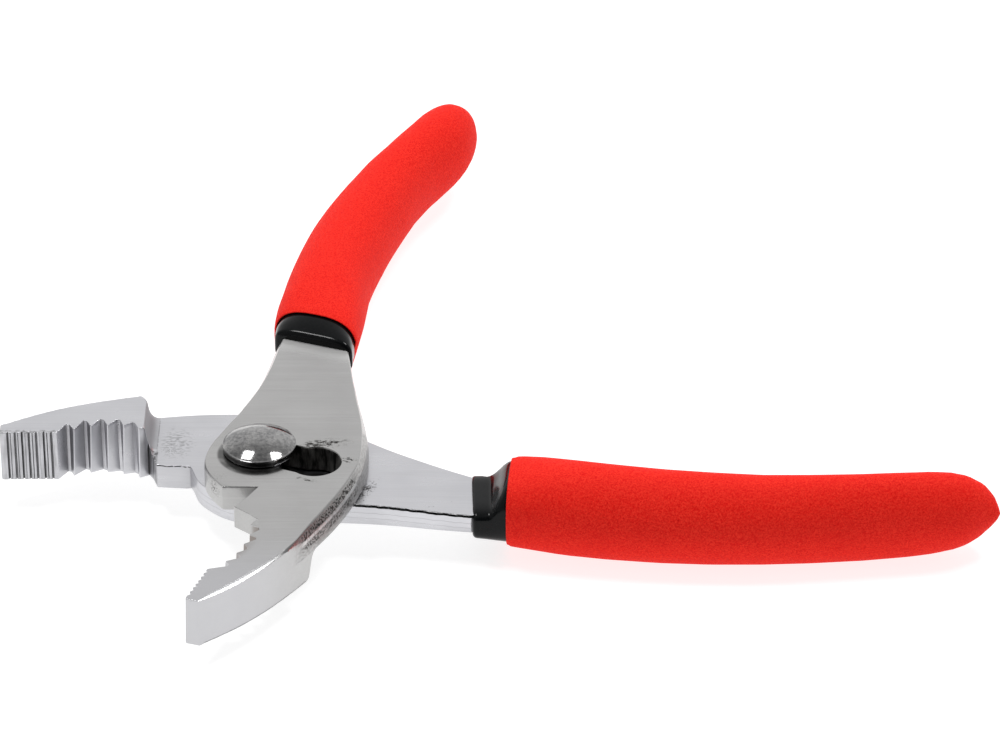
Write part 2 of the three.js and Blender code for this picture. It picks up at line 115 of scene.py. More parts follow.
LIMIT_SECTION = [(50, 8.6, 8.4), (51, 8.95, 8.8), (52, 9.05, 9.1), (56, 9.1, 9.6), (62, 8.9, 9.85), (70, 8.55, 9.9), (147.6, 8.55, 9.9)]
GRIP_ZC = 3.6

# step from the jaw down to the lapped plate: height, x along the step, x where it leaves the back edge
STEP = [
    (11.2, -23.95, -25.2), (11.13, -23.72, -24.85), (10.95, -23.55, -24.55), (10.6, -23.42, -24.3),
    (9.5, -23.28, -23.9), (8.2, -23.1, -23.55), (7.1, -22.85, -23.2), (6.45, -22.6, -22.85),
    (5.98, -22.3, -22.45), (5.68, -21.95, -22.0), (5.54, -21.65, -21.65), (5.5, -21.35, -21.25),
]
# how far each crest and valley of the coarse teeth has moved on the outer face, from the first crest on
LEAN = {
    "pinned": [(0, 0), (0, -0.4), (-0.4, 0), (0.1, -0.95), (-0.4, -0.3), (0.25, -1.5), (-0.3, -0.3), (0.35, -2.0), (-0.35, -0.85), (0.35, -1.65), (-0.1, -0.95)],
    "slotted": [(-1.0, 0.4), (-0.5, 0.6), (-0.9, 1.5), (-0.55, 0.4), (-1.0, 1.0), (-0.8, 0.0), (-1.1, 0.95), (-0.6, 0.4), (-1.1, 0.95), (-0.4, 0.8), (-1.0, 1.0)],
}
# how far the outer face stands in from the widest outline, along the back and along the front
DRAFT_BACK = [
    (-52.6, 0.12), (-51.4, 0.4), (-49.6, 0.62), (-45.3, 0.82), (-41, 0.82), (-37, 0.72), (-34, 0.55), (-31, 0.42),
    (-28, 0.5), (-24, 1.0), (-20, 1.4), (-14, 1.6), (-7, 1.5), (0, 1.3), (10, 1.35), (16, 1.2), (20, 0.9),
    (24, 0.5), (28, 0.25), (41, 0.2), (50, 0.2), (140, 0.2),
]
# how far the inner face stands in, along the back of the tang
UNDER_BACK = [(16, 0.0), (22, 0.5), (28, 1.2), (41, 1.5), (50, 0.4), (60, 0.0)]
DRAFT_FRONT = [
    (-22, 0.12), (-15.2, 0.16), (-8, 0.2), (0, 0.16), (5, 0.3), (7, 0.5), (9.5, 0.95), (12, 1.3), (16, 1.55),
    (24, 1.55), (30, 1.5), (36, 1.35), (41, 1.45), (50, 0.8), (140, 0.4),
]


def table(rows, x, k=1):
    return float(np.interp(x, [r[0] for r in rows], [r[k] for r in rows]))


def smoothstep(x, a, b):
    t = min(1.0, max(0.0, (x - a) / (b - a)))
    return t * t * (3 - 2 * t)


def curve(points, step, passes=2):
    """Smooth open curve through points, sampled about every step."""
    P = np.array(points, float)
    E = np.vstack([2 * P[0] - P[1], P, 2 * P[-1] - P[-2]])
    out = []
    for i in range(len(P) - 1):
        p0, p1, p2, p3 = E[i:i + 4]
        t1 = np.linalg.norm(p1 - p0) ** 0.5
        t2 = t1 + np.linalg.norm(p2 - p1) ** 0.5
        t3 = t2 + np.linalg.norm(p3 - p2) ** 0.5
        n = max(1, int(math.ceil(np.linalg.norm(p2 - p1) / step)))
        for k in range(n):
            t = t1 + (t2 - t1) * k / n
            a1 = (t1 - t) / t1 * p0 + t / t1 * p1
            a2 = (t2 - t) / (t2 - t1) * p1 + (t - t1) / (t2 - t1) * p2
            a3 = (t3 - t) / (t3 - t2) * p2 + (t - t2) / (t3 - t2) * p3
            b1 = (t2 - t) / t2 * a1 + t / t2 * a2
            b2 = (t3 - t) / (t3 - t1) * a2 + (t - t1) / (t3 - t1) * a3
            out.append((t2 - t) / (t2 - t1) * b1 + (t - t1) / (t2 - t1) * b2)
    out.append(P[-1])
    Q = np.array(out)
    for _ in range(passes):
        Q[1:-1] = 0.25 * Q[:-2] + 0.5 * Q[1:-1] + 0.25 * Q[2:]
    return Q


def with_stops(Q, xs):
    """The curve Q, whose x only grows, with a point at each of xs and none crowding it."""
    pts = [tuple(p) for p in Q]
    for x in xs:
        y = float(np.interp(x, Q[:, 0], Q[:, 1]))
        pts = [p for p in pts if abs(p[0] - x) > 0.12]
        pts.append((x, y))
        pts.sort()
    return pts


# ------------------------------------------------------------------ mesh helpers
def new_object(name, verts, faces, place=None):
    mesh = bpy.data.meshes.new(name)
    mesh.from_pydata([tuple(c * MM for c in v) for v in verts], [], faces)
    mesh.validate()
    if place is not None:
        mesh.transform(place)
    mesh.update()
    obj = bpy.data.objects.new(name, mesh)
    bpy.context.scene.collection.objects.link(obj)
    return obj


def fill(verts, loop):
    """Triangles that fill a flat outline, given as indices into verts."""
    flat = [Vector((verts[i][0], verts[i][1])) for i in loop]
    points, _, tris, _, _, _ = geometry.delaunay_2d_cdt(flat, [], [list(range(len(loop)))], 1, 1e-7)
    if len(points) != len(loop):
        raise RuntimeError("an outline crosses itself")
    return [tuple(loop[k] for k in t) for t in tris]


def loft(rings, closed=False):
    """Skin through rings of equal count; a ring of one point is a pole. closed joins last to first."""
    verts, start, faces = [], [], []
    for r in rings:
        start.append(len(verts))
        verts.extend(r)
    pairs = [(k, k + 1) for k in range(len(rings) - 1)] + ([(len(rings) - 1, 0)] if closed else [])
    for k, j in pairs:
        A, B = rings[k], rings[j]
        n = max(len(A), len(B))
        for i in range(n):
            i2 = (i + 1) % n
            a, a2 = start[k] + i, start[k] + i2
            b, b2 = start[j] + i, start[j] + i2
            if len(A) == 1:
                faces.append((start[k], b2, b))
            elif len(B) == 1:
                faces.append((a, a2, start[j]))
            else:
                faces.append((a, a2, b2, b))
    if not closed:
        if len(rings[0]) > 1:
            faces.append(tuple(reversed(range(start[0], start[0] + len(rings[0])))))
        if len(rings[-1]) > 1:
            faces.append(tuple(range(start[-1], start[-1] + len(rings[-1]))))
    return verts, faces


def cut(obj, tool, operation="DIFFERENCE"):
    mod = obj.modifiers.new("cut", "BOOLEAN")
    mod.operation = operation
    mod.solver = "MANIFOLD"
    mod.object = tool
    bpy.context.view_layer.update()
    depsgraph = bpy.context.evaluated_depsgraph_get()
    mesh = bpy.data.meshes.new_from_object(obj.evaluated_get(depsgraph))
    obj.modifiers.clear()
    old = obj.data
    obj.data = mesh
    bpy.data.meshes.remove(old)
    bpy.data.objects.remove(tool)


def finish_shading(obj, degrees, weighted=True):
    for p in obj.data.polygons:
        p.use_smooth = True
    obj.data.set_sharp_from_angle(angle=math.radians(degrees))
    if weighted:
        mod = obj.modifiers.new("normals", "WEIGHTED_NORMAL")
        mod.keep_sharp = True
        mod.weight = 80


def inset_dirs(xy):
    """Inward mitre of every vertex of a closed counter-clockwise outline."""
    prev, nxt = np.roll(xy, 1, 0), np.roll(xy, -1, 0)
    e1, e2 = xy - prev, nxt - xy
    e1 /= np.linalg.norm(e1, axis=1)[:, None]
    e2 /= np.linalg.norm(e2, axis=1)[:, None]
    n1 = np.stack([-e1[:, 1], e1[:, 0]], 1)
    n2 = np.stack([-e2[:, 1], e2[:, 0]], 1)
    m = n1 + n2
    m /= np.maximum(np.linalg.norm(m, axis=1), 1e-6)[:, None]
    c = np.maximum((m * n1).sum(1), 0.6)
    return m / c[:, None]


PLACE = {
    "pinned": Matrix.Translation((0, 0, 4.0 * MM)),
    "slotted": Matrix.Translation((0, 0, 15.2 * MM)) @ Matrix.Rotation(OPEN, 4, "Z") @ Matrix.Rotation(math.pi, 4, "X"),
}


# ------------------------------------------------------------------ forged halves
def lap_height(x):
    return float(np.interp(x, [16, 42.5, 140], [LAP_T, 4.7, 4.2]))


def teeth_line(kind):
    """Gripping edge from the tip to the last coarse tooth, with every crest slightly dulled, and its lean."""
    dy = PLANS[kind]["dy"]
    line = lambda x: GRIP_Y + GRIP_LEAN * (x + 41.1) + dy
    up = (0.0, 0.35 if kind == "slotted" else 0.0)
    pts = [(TIP_X, line(TIP_X) + 0.45, up), (TIP_X + 0.12, line(TIP_X) + 0.12, up), (TIP_X + 0.45, line(TIP_X), up)]
    x0, x1, count = TIP_X + 0.95, -41.4, 7
    pitch = (x1 - x0) / count
    for i in range(count):
        x = x0 + pitch * i
        wob = 0.05 * math.sin(7.3 * i + 1.0)
        deep = 0.42 + 0.08 * math.sin(4.1 * i)
        nick = 0.13 + 0.06 * math.sin(2.9 * i)
        shape = ((0.22 + wob, 0.0), (0.3 + wob, 0.08), (0.41 + wob, deep), (0.47 + wob, deep), (0.57 + wob, 0.06), (0.63 + wob, 0.0),
                 (0.8, 0.02), (0.85, nick), (0.88, nick), (0.94, 0.02))
        if kind == "slotted":
            shape = ((0.1, 0.0), (0.24 + wob, 0.12), (0.42 + wob, deep + 0.16), (0.5 + wob, deep + 0.16), (0.72 + wob, 0.16), (0.88, 0.02))
        for k, d in shape:
            pull = LEAN[kind][0][0] * smoothstep(x + pitch * k, -50.0, -41.1)
            pts.append((x + pitch * k, line(x + pitch * k) + d, (pull, up[1])))
    C = [(x, y + dy) for x, y in COARSE]
    for i, (x, y) in enumerate(C):
        crest = i % 3 == 0
        lean = LEAN[kind][2 * (i // 3) + (0 if crest else 1)]
        if not crest:
            pts.append((x, y, lean))
            continue
        px, py = (pts[-1][0], pts[-1][1])
        nx, ny = C[i + 1] if i + 1 < len(C) else (-23.95, 7.85 + dy)
        for qx, qy in ((px, py), (nx, ny)):
            d = math.hypot(qx - x, qy - y)
            pts.append((x + (qx - x) / d * 0.15, y + (qy - y) / d * 0.15, lean))
    return pts


def half_outline(kind):
    """Outline of one half as rows x, y, top height, top rounding, draft, draft height, face rounding, flash."""
    plan = PLANS[kind]
    dy = plan["dy"]
    rows, index = [], {}

    def add(x, y, top, soft, draft, deep, face, flash=0.0, under=0.0, knee=0.38, lean=(0.0, 0.0)):
        rows.append((x, y, top, soft, draft, deep, face, flash, under, knee, *lean))

    for x, y, lean in teeth_line(kind):
        add(x, y, JAW_T, 0.07, 0.015, 0.5, 0.055, lean=lean)
    index["F0"] = len(rows)
    for z, x, _ in STEP:
        y = 7.5 + 0.5 * (x + 24.65) if x <= -22.85 else 8.4 - 2.92 * (x + 22.85)
        fade = 1 - smoothstep(x, -22.9, -21.9)
        add(x, y + dy, z, 0.05, 0.05, 0.6, 0.1, lean=tuple(c * fade for c in ((0.0, -0.95) if kind == "pinned" else (-0.6, 0.8))))
    cutter = plan["cutter"]
    add(cutter[0][0] - 0.06, cutter[0][1] + 0.17, LAP_T, 0.06, 0.05, 0.6, 0.15)
    add(cutter[0][0] + 0.17, cutter[0][1] + 0.0, LAP_T, 0.06, 0.05, 0.6, 0.15)
    for a, b in zip(cutter, cutter[1:]):
        n = max(2, int(math.hypot(b[0] - a[0], b[1] - a[1]) / 0.9))
        for k in range(1, n):
            t = k / n
            add(a[0] + (b[0] - a[0]) * t, a[1] + (b[1] - a[1]) * t, LAP_T, 0.08, 0.05, 0.6, 0.15)
        if b != cutter[-1]:
            add(b[0], b[1], LAP_T, 0.08, 0.05, 0.6, 0.15)
    visible = [p for p in plan["front"] if p[0] <= plan["front_x"] + 0.2]
    buried = [p for p in plan["front"] if p[0] > plan["front_x"] + 0.2]
    split_x = plan["front_x"]
    F = with_stops(curve(visible, 0.6, 6), [16.0])
    for i, (x, y) in enumerate(F):
        d = table(DRAFT_FRONT, x) if x > -15.0 else 0.15
        top = lap_height(x)
        deep = min(4.2, top - 0.95) if d > 0.3 else min(2.0, 0.6 + 4 * d)
        flash = 0.24 * smoothstep(x, 6, 12) if x < 60 else 0.0
        flash *= 0.75 + 0.5 * noise.noise((x * 0.9, 3.1 if kind == "pinned" else 8.7, 0.0))
        if x == 16.0:
            index["FT"] = len(rows)
        add(x, y, top, 0.15, d, deep, 0.22, flash)
    index["FE"] = len(rows) - 1
    for x, y in buried:
        add(x, y, lap_height(x), 0.12, table(DRAFT_FRONT, x), lap_height(x) - 0.95, 0.2)
    core_x = [54, 64, 76, 90, 104, 118, 130, 136]
    for x in core_x:
        add(x, table(plan["axis"], x) - table(CORE_HALF, x), lap_height(x), 0.12, 0.5, 2.5, 0.2)
    for x in reversed(core_x):
        add(x, table(plan["axis"], x) + table(CORE_HALF, x), lap_height(x), 0.12, 0.5, 2.5, 0.2)
    both = [(x, y + dy) for x, y in BACK] + plan["back"]
    for x, y in reversed([p for p in both if p[0] > plan["front_x"] + 0.2]):
        add(x, y, lap_height(x), 0.12, table(DRAFT_BACK, x), 0.6, 0.2, 0.0, table(UNDER_BACK, x) if kind == "slotted" else 0.0)
    B = with_stops(curve([p for p in both if p[0] <= plan["front_x"] + 0.2], 0.75, 6), [16.0] + [s[2] for s in STEP])
    step_x = {round(s[2], 4): s[0] for s in STEP}
    for i, (x, y) in enumerate(reversed(B)):
        if i == 0:
            index["BE"] = len(rows)
        if x == 16.0:
            index["BT"] = len(rows)
        key = round(x, 4)
        if key in step_x:
            top = step_x[key]
            if top == 5.5:
                index["B11"] = len(rows)
            if top == JAW_T:
                index["B0"] = len(rows)
        elif x > STEP[-1][2]:
            top = lap_height(x)
        elif x < STEP[0][2]:
            top = JAW_T
        else:
            continue
        d = table(DRAFT_BACK, x)
        k = smoothstep(x, -33, -22)
        deep = d * 0.45 * (1 - k) + min(4.2, lap_height(x) - 0.95) * k
        deep += (0.6 - deep) * smoothstep(x, 17, 30)
        under = table(UNDER_BACK, x) if kind == "slotted" and x > 16 else 0.0
        soft = 0.45 if x < STEP[0][2] else 0.22
        if x < -51.5:
            soft = 0.2
        add(x, y, top, soft, d, deep, 0.16 + 0.14 * k, 0.0, under, 0.56 - 0.18 * smoothstep(x, -32, -24))
    return np.array(rows), index, B


def forged_half(kind):
    rows, ix, _ = half_outline(kind)
    xy = rows[:, :2].copy()
    top, soft, draft, deep, face, flash, under, knee = (rows[:, c] for c in range(2, 10))
    lean = rows[:, 10:12]
    inward = inset_dirs(xy)
    n = len(rows)
    e = np.minimum(face, 0.35 * deep)
    wave = np.array([0.05 * noise.noise((p[0] * 0.7, p[1] * 0.7, 1.0 if kind == "pinned" else 5.0)) for p in xy])
    low = top - 0.62 + wave
    if kind == "pinned":
        draft = np.where((np.arange(n) < ix["BE"]) & (xy[:, 0] > 10), 0.55 * draft, draft)
    profile = [
        (np.zeros(n), draft + e),
        (0.3 * e, draft + 0.3 * e),
        (e, draft * (1 - 0.9 * e / deep)),
        (0.45 * deep, draft * knee),
        (0.47 * deep, draft * (knee - 0.05 + 0.17 * (knee - 0.38))),
        (deep, np.zeros(n)),
        (np.maximum(low, deep + 0.05), np.zeros(n)),
        (np.maximum(low + 0.06, deep + 0.1), flash),
        (np.maximum(low + 0.36, deep + 0.15), flash),
        (np.maximum(low + 0.41, deep + 0.2), np.zeros(n)),
        (top - soft, np.zeros(n)),
        (top - 0.62 * soft, 0.1 * soft),
        (top - 0.29 * soft, 0.3 * soft),
        (top - 0.08 * soft, 0.62 * soft),
        (top, soft),
    ]
    verts = []
    for j, (z, inset) in enumerate(profile):
        inset = inset + under * np.clip((z - deep) / (top - deep), 0, 1)
        p = xy + inward * inset[:, None] + lean * np.clip(1 - z / top, 0, 1)[:, None]
        if kind == "slotted" and j < 6:
            z = z + 0.75 * np.clip((-22 - p[:, 0]) / 30.6, 0, 1)
        verts.extend((p[i, 0], p[i, 1], float(z[i])) for i in range(n))
    faces = []
    for j in range(len(profile) - 1):
        for i in range(n):
            i2 = (i + 1) % n
            faces.append((j * n + i, j * n + i2, (j + 1) * n + i2, (j + 1) * n + i))
    faces.extend(tuple(reversed(t)) for t in fill(verts, list(range(n))))
    T = (len(profile) - 1) * n
    F0, B0, B11, FT, BT, FE, BE = (ix[k] for k in ("F0", "B0", "B11", "FT", "BT", "FE", "BE"))
    K, M = len(STEP), 14
    grid = []
    for k in range(K):
        a = verts[T + F0 + k]
        b = verts[T + B0 - k]
        line = [T + F0 + k]
        for m in range(1, M):
            t = m / M
            t = 1 - (1 - t) ** 1.6
            y = a[1] + (b[1] - a[1]) * t
            x_line = STEP[k][1]
            y_bend = b[1] - 2.6
            x = a[0] + (x_line - a[0]) * min(1.0, t * 6)
            if y > y_bend:
                s = (y - y_bend) / (b[1] - y_bend)
                x = x_line + (b[0] - x_line) * s ** 2.2
            line.append(len(verts))
            verts.append((x, y, STEP[k][0]))
        line.append(T + B0 - k)
        grid.append(line)
    for k in range(K - 1):
        for m in range(M):
            faces.append((grid[k][m], grid[k + 1][m], grid[k + 1][m + 1], grid[k][m + 1]))
    faces.extend(fill(verts, [T + i for i in range(B0, n)] + [T + i for i in range(0, F0 + 1)] + grid[0][1:-1]))
    faces.extend(fill(verts, [T + i for i in range(F0 + K - 1, FT + 1)] + [T + i for i in range(BT, B11 + 1)] + grid[-1][-2:0:-1]))
    faces.extend(fill(verts, [T + i for i in range(FT, FE + 1)] + [T + i for i in range(BE, BT + 1)]))
    faces.extend(fill(verts, [T + i for i in range(FE, BE + 1)]))
    return new_object(kind + "_forging", verts, faces, PLACE[kind])


SLOT_END = (-0.35, 12.1, 5.15)
SLOT_NECK = (-5.1, 3.75)


def slot_ring(grow, z):
    """Two holes joined by a neck that is pinched on one side only."""
    cx, cy, R = SLOT_END
    r, R = 4.78 + grow, R + grow
    left, right = SLOT_NECK[0] - grow, SLOT_NECK[1] + grow
    a0, a1 = -math.acos((right - cx) / R), math.pi + math.acos((cx - left) / R)
    b0, b1 = math.pi, 2 * math.pi + math.acos(right / r)
    out = []
    for x, y, q, t0, t1 in ((cx, cy, R, a0, a1), (0.0, 0.0, r, b0, b1)):
        for i in range(49):
            t = t0 + (t1 - t0) * i / 48
            out.append((x + q * math.cos(t), y + q * math.sin(t), z))
    return out


def in_slot(x, y, grow):
    cx, cy, R = SLOT_END
    return (math.hypot(x - cx, y - cy) < R + grow or math.hypot(x, y) < 4.78 + grow
            or (SLOT_NECK[0] - grow < x < SLOT_NECK[1] + grow and 0 < y < cy))


def flats_radius(theta, r, flats, turn):
    c = abs(math.cos(theta - turn))
    return min(r, flats / 2 / c) if c > 1e-6 else r


def ring(z, radius, n=96):
    f = radius if callable(radius) else (lambda t: radius)
    return [(f(2 * math.pi * i / n) * math.cos(2 * math.pi * i / n), f(2 * math.pi * i / n) * math.sin(2 * math.pi * i / n), z) for i in range(n)]


def seat_ring(grow, z):
    return ring(z, lambda t: flats_radius(t, 4.8 + grow, 7.4 + 2 * grow, OPEN))


pinned_half = forged_half("pinned")
tool = new_object("tool", *loft([seat_ring(0.7, -0.4), seat_ring(0.0, 0.3), seat_ring(0.0, 5.2), seat_ring(0.7, 5.9)]), PLACE["pinned"])
cut(pinned_half, tool)

slotted_half = forged_half("slotted")
tool = new_object("tool", *loft([slot_ring(0.6, -0.35), slot_ring(0.1, 0.15), slot_ring(0.0, 0.4), slot_ring(0.0, 5.25), slot_ring(0.6, 5.85)]), PLACE["slotted"])
cut(slotted_half, tool)
# relief at the foot of the step, which the step of the other half passes when the narrow setting is closed
RELIEF = [(-22.85, 2.0), (-20.2, 2.0), (-20.2, 5.0), (-21.2, 8.8), (-22.85, 8.8)]
tool = new_object("tool", *loft([[(x, y, z) for x, y in RELIEF] for z in (4.8, 7.2)]), PLACE["slotted"])
cut(slotted_half, tool)
for o in (pinned_half, slotted_half):
    finish_shading(o, 32)


# ------------------------------------------------------------------ sleeves and grips
FLAT_TILT = math.radians(15)
RING_N = 96


def handle_ring(plan, x, a, b, zc, power=2.0, limit=None, low=None, low_power=None):
    """Ring across a handle: half width a, half depth b towards the inner face and low towards the outer face."""
    axis = plan["axis"]
    y = table(axis, x)
    h = 1.5
    turn = smoothstep(x, plan["grip_x"] + 1, plan["grip_x"] + 14) if plan["square_on"] else 1.0
    t = Vector((2 * h, (table(axis, x + h) - table(axis, x - h)) * turn)).normalized()
    fc, fs = math.cos(FLAT_TILT), math.sin(FLAT_TILT)
    low = b if low is None else low
    low_power = power if low_power is None else low_power
    out = []
    for i in range(RING_N):
        f = 2 * math.pi * i / RING_N
        c, s = math.cos(f), math.sin(f)
        q = power if s >= 0 else low_power
        u = a * math.copysign(abs(c) ** (2 / q), c)
        w = (b if s >= 0 else low) * math.copysign(abs(s) ** (2 / q), s)
        if limit is not None:
            over = max(0.0, u * fc + (zc + w - GRIP_ZC) * fs - limit)
            u -= over * fc
            w -= over * fs
        out.append((x - t.y * u, y + t.x * u, zc + w))
    return out


def station(plan, x):
    front, end = plan["grip_x"], plan["end_x"]
    if x < 70:
        return x + (50 - front) * (70 - x) / (70 - front)
    if x > 120:
        return 120 + (x - 120) * 27.6 / (end - 120)
    return x


def section(plan, x):
    """Half width, half depth and squareness of the grip."""
    u = station(plan, x)
    return table(GRIP_SECTION, u, 1) + table(plan["more"], x), table(GRIP_SECTION, u, 2), table(GRIP_SECTION, u, 3)


def foam_wall(plan, x):
    return 0.6 + 0.5 * smoothstep(x, plan["grip_x"] + 0.3, plan["grip_x"] + 4)


def limit_at(plan, x):
    """Where the grip is pressed flat, so that the two handles close."""
    u = station(plan, x)
    a, b = table(LIMIT_SECTION, u, 1), table(LIMIT_SECTION, u, 2)
    return math.hypot(a * math.cos(FLAT_TILT), b * math.sin(FLAT_TILT)) - plan["flat"] * min(1.0, max(0.0, (60 - x) / 10))


def sleeve_size(plan, x, grow=0.0):
    a, b, power = section(plan, x)
    wall = foam_wall(plan, x)
    a, b = max(a - wall, 0.6), max(b - wall, 0.6)
    fx, gx = plan["front_x"], plan["grip_x"]
    k = smoothstep(x, fx + 0.42 * (gx - fx), gx + 0.3)
    # the upper collar swells late on its inner side, which has to clear the other one when closed
    ki = smoothstep(x, gx - 1.0, gx + 0.3) if plan["square_on"] else k
    press = smoothstep(ki, 0.0, 0.06) if plan["square_on"] else smoothstep(x, fx + 1.4, fx + 3.0)
    j = min(1.0, max(0.0, (x - fx) / (gx + 0.3 - fx)))
    j = j * (1.35 - 0.35 * j)
    end = max(0.25, 1 - ((x - 141) / 3) ** 2) if x > 141 else 1.0
    zc = 2.35 * (1 - k) + GRIP_ZC * k
    inner = 5.4 * (1 - ki) + (GRIP_ZC + b) * ki
    outer = -1.84 * (1 - j) + (GRIP_ZC - b) * j
    return dict(
        a=(plan["neck"] * (1 - k) + a * k) * end + grow,
        b=(inner - zc) * end + grow,
        low=(zc - outer) * end + grow,
        zc=zc,
        power=plan["square"] * (1 - k) + power * k,
        low_power=plan["round"] * (1 - j) + power * j,
        limit=limit_at(plan, x) - wall + grow + 2.5 * (1 - press) if press > 0 else None,
    )


def sleeve(kind):
    plan = PLANS[kind]
    fx, gx = plan["front_x"], plan["grip_x"]
    rings = []
    for dx, shrink in ((0.0, 0.85), (0.03, 0.6), (0.1, 0.42), (0.22, 0.25), (0.4, 0.1), (0.62, 0.02), (0.85, 0.0)):
        rings.append(handle_ring(plan, fx + dx, **sleeve_size(plan, fx + dx, -shrink)))
    xs = list(np.linspace(fx + 1.1, gx + 0.6, 22)) + [gx + 2, gx + 5, 58, 64, 70, 78, 86, 94, 102, 110, 118, 125, 131, 136, 139, 141, 142.2, 143.1, 143.6]
    for x in xs:
        rings.append(handle_ring(plan, x, **sleeve_size(plan, x)))
    obj = new_object(kind + "_sleeve_black", *loft(rings), PLACE[kind])
    # room for the tang
    rows, ix, _ = half_outline(kind)
    keep = [i for i in range(len(rows)) if i >= ix["FT"] and i <= ix["BT"]]
    R = rows[keep]
    xy = R[:, :2]
    inward = inset_dirs(xy)
    top, draft, deep, under = R[:, 2], R[:, 4], R[:, 5], R[:, 8]
    gap = 0.1
    out = []
    for z, inset in ((np.full(len(R), -gap), draft * 1.02), (deep, draft * 0.0), (top + gap, under)):
        p = xy + inward * (inset - gap)[:, None]
        out.append([(p[i, 0], p[i, 1], float(z[i])) for i in range(len(R))])
    tool = new_object("tool", *loft(out), PLACE[kind])
    cut(obj, tool)
    finish_shading(obj, 40)
    return obj


def grip(kind):
    plan = PLANS[kind]
    gx, end = plan["grip_x"], plan["end_x"]
    rings = []
    inner_xs = [143.9, 143.1, 142.2, 141, 139, 136, 131, 125, 118, 110, 102, 94, 86, 78, 70, 64, 58, gx + 5, gx + 2.5, gx + 1.2, gx + 0.6]
    y = table(plan["axis"], 144.05)
    rings.append([(144.05, y, GRIP_ZC)])
    for x in inner_xs:
        rings.append(handle_ring(plan, x, **sleeve_size(plan, x, 0.08)))
    a0, b0, p0 = section(plan, gx)
    s0 = sleeve_size(plan, gx + 0.5, 0.08)
    for dx, k in ((0.2, 0.1), (0.05, 0.26), (0.0, 0.48), (0.05, 0.7), (0.2, 0.87), (0.5, 0.97)):
        A = s0["a"] + (a0 - s0["a"]) * k
        B = s0["b"] + (b0 - s0["b"]) * k
        L = s0["low"] + (b0 - s0["low"]) * k
        rings.append(handle_ring(plan, gx + dx, A, B, GRIP_ZC, p0, limit_at(plan, gx) - 0.52 * (1 - k), L, p0))
    xs = [gx + d for d in (1.0, 1.5, 2.2, 3.2, 4.5, 6, 8, 10.5)]
    x = xs[-1] + 2.5
    while x < end - 14:
        xs.append(x)
        x += 2.2
    xs += [end - d for d in (12.5, 11, 9.6, 8.3, 7.1, 6.0, 5.0, 4.1, 3.3, 2.6, 2.0, 1.5, 1.05, 0.7, 0.4, 0.18, 0.05)]
    for x in xs:
        a, b, power = section(plan, x)
        rings.append(handle_ring(plan, x, a, b, GRIP_ZC, power, limit_at(plan, x) if x < 75 else None))
    rings.append([(end, table(plan["axis"], end), GRIP_ZC)])
    obj = new_object(kind + "_grip_foam", *loft(rings), PLACE[kind])
    finish_shading(obj, 60, weighted=False)
    return obj


pinned_sleeve, slotted_sleeve = sleeve("pinned"), sleeve("slotted")
pinned_grip, slotted_grip = grip("pinned"), grip("slotted")

# ------------------------------------------------------------------ pivot
SHANK = lambda t: flats_radius(t, 4.5, 7.0, OPEN)
seat = 15.75
bolt_rings = [[(0, 0, 0.0)], ring(0.0, 3.0), ring(0.12, 3.35), ring(0.3, 3.62)]
for i in range(5):
    z = 0.42 + 0.7 * i
    bolt_rings += [ring(z, 3.78), ring(z + 0.12, 3.78), ring(z + 0.4, 3.42), ring(z + 0.5, 3.42)]
bolt_rings += [ring(3.92, 3.6), ring(3.92, SHANK), ring(seat - 0.06, SHANK), ring(seat, 4.6),
               ring(seat, 6.72), ring(15.45, 6.76), ring(15.38, 6.85), ring(15.36, 7.0), ring(15.38, 7.16), ring(15.46, 7.27), ring(15.6, 7.32),
               ring(15.8, 7.35), ring(16.5, 7.35), ring(16.6, 7.33), ring(16.68, 7.27), ring(16.72, 7.19), ring(16.735, 7.12),
               ring(16.735, 7.02), ring(16.78, 6.95)]
dome = 18.75 - 16.78
ball = (6.95 ** 2 + dome ** 2) / (2 * dome)
for i in range(1, 22):
    r = 6.95 * (1 - i / 22.0)
    bolt_rings.append(ring(18.75 - ball + math.sqrt(ball ** 2 - r ** 2), r))
bolt_rings.append([(0, 0, 18.75)])
pivot_bolt = new_object("bolt_domed", *loft(bolt_rings))
finish_shading(pivot_bolt, 24)

HEX = lambda t: 5.5 / math.cos((t + math.pi / 6) % (math.pi / 3) - math.pi / 6)
cone = lambda z, z0: 5.45 + (z - z0) * 1.75
nut_rings = [ring(0.4, 5.3)]
for z in (0.45, 0.6, 0.8, 1.0, 1.2):
    nut_rings.append(ring(z, lambda t, z=z: min(HEX(t), cone(z, 0.4))))
for z in (3.1, 3.4, 3.6, 3.75):
    nut_rings.append(ring(z, lambda t, z=z: min(HEX(t), cone(4.2 - z, 0.4))))
nut_rings += [ring(3.8, 5.3), ring(3.8, 4.5), ring(3.4, 4.0), ring(0.8, 4.0), ring(0.4, 4.45)]
pivot_nut = new_object("nut_hex", *loft(nut_rings, closed=True))
finish_shading(pivot_nut, 28)

w = 0.08
washer_rings = [ring(15.3, 4.72 + w), ring(15.3, 6.6 - w), ring(15.3 + w, 6.6), ring(15.65 - w, 6.6),
                ring(15.65, 6.6 - w), ring(15.65, 4.72 + w), ring(15.65 - w, 4.72), ring(15.3 + w, 4.72)]
pivot_washer = new_object("washer_flat", *loft(washer_rings, closed=True))
finish_shading(pivot_washer, 28)


